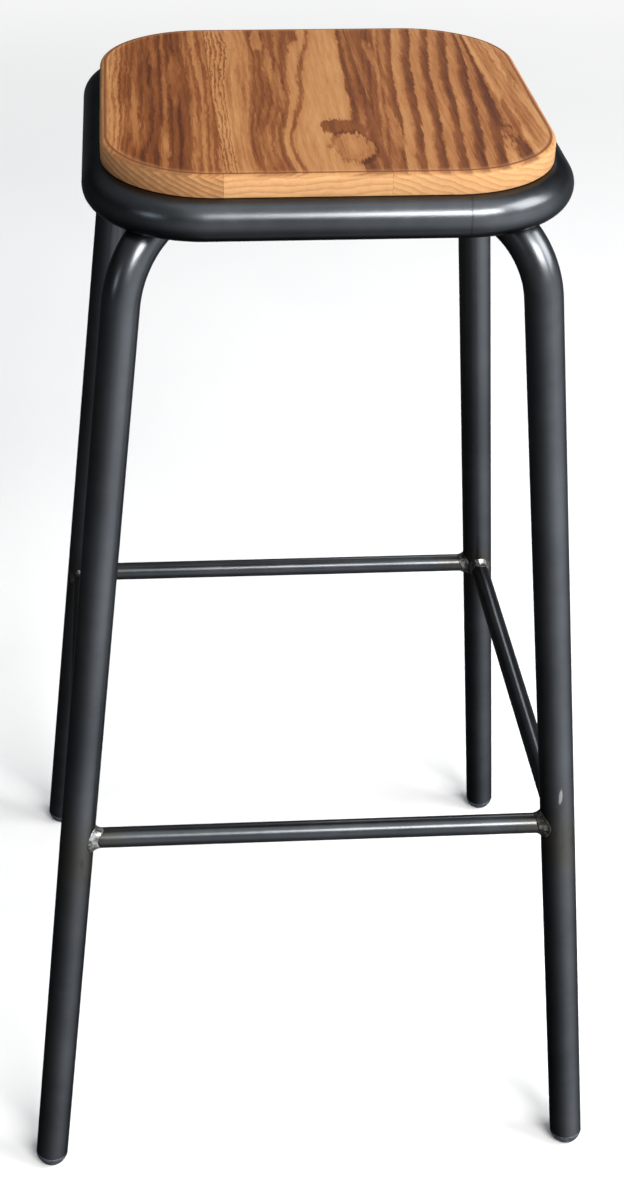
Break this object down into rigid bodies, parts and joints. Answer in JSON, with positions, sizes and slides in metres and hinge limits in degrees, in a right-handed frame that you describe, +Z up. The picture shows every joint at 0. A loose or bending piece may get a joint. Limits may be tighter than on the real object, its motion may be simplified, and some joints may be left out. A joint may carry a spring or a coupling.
{
  "type": "bar stool with footrest",
  "caption": "Bar stool: a square wood seat with round corners on a bent steel tube ring, splayed tube legs that bend in under the ring, and welded footrest bars on every side",
  "frame": {"origin": "centre of the footprint on the floor, under the middle of the seat", "axes": "+Z up, +X to the sitter's right as seen from the front, front of the stool towards -Y"},
  "size_m": [0.4422, 0.4422, 0.8],
  "materials": {
    "seat_wood": "oiled, satin",
    "frame_steel": "raw gunmetal tube under clear satin lacquer",
    "weld_steel": "ground weld beads under clear lacquer",
    "foot_plastic": "moulded, slightly glossy",
    "screw_zinc": "bright zinc plate"
  },
  "bodies": {
    "root": {"foot_cap_back_left": "foot_plastic", "foot_cap_back_right": "foot_plastic", "foot_cap_front_left": "foot_plastic", "foot_cap_front_right": "foot_plastic", "footrest_bar_back": "frame_steel", "footrest_bar_front": "frame_steel", "footrest_bar_left": "frame_steel", "footrest_bar_right": "frame_steel", "footrest_weld_back_left_end": "weld_steel", "footrest_weld_back_right_end": "weld_steel", "footrest_weld_front_left_end": "weld_steel", "footrest_weld_front_right_end": "weld_steel", "footrest_weld_left_back_end": "weld_steel", "footrest_weld_left_front_end": "weld_steel", "footrest_weld_right_back_end": "weld_steel", "footrest_weld_right_front_end": "weld_steel", "leg_back_left": "frame_steel", "leg_back_right": "frame_steel", "leg_cross_weld": "weld_steel", "leg_front_left": "frame_steel", "leg_front_right": "frame_steel", "leg_weld_back_left": "weld_steel", "leg_weld_back_right": "weld_steel", "leg_weld_front_left": "weld_steel", "leg_weld_front_right": "weld_steel", "seat_board_left": "seat_wood", "seat_board_middle": "seat_wood", "seat_board_right": "seat_wood", "seat_ring": "frame_steel", "seat_screw_back": "screw_zinc", "seat_screw_front": "screw_zinc", "seat_screw_left": "screw_zinc", "seat_screw_right": "screw_zinc", "seat_tab_back": "frame_steel", "seat_tab_front": "frame_steel", "seat_tab_left": "frame_steel", "seat_tab_right": "frame_steel", "seat_tab_weld_back": "weld_steel", "seat_tab_weld_front": "weld_steel", "seat_tab_weld_left": "weld_steel", "seat_tab_weld_right": "weld_steel", "seat_washer_back": "screw_zinc", "seat_washer_front": "screw_zinc", "seat_washer_left": "screw_zinc", "seat_washer_right": "screw_zinc"}
  },
  "joints": []
}
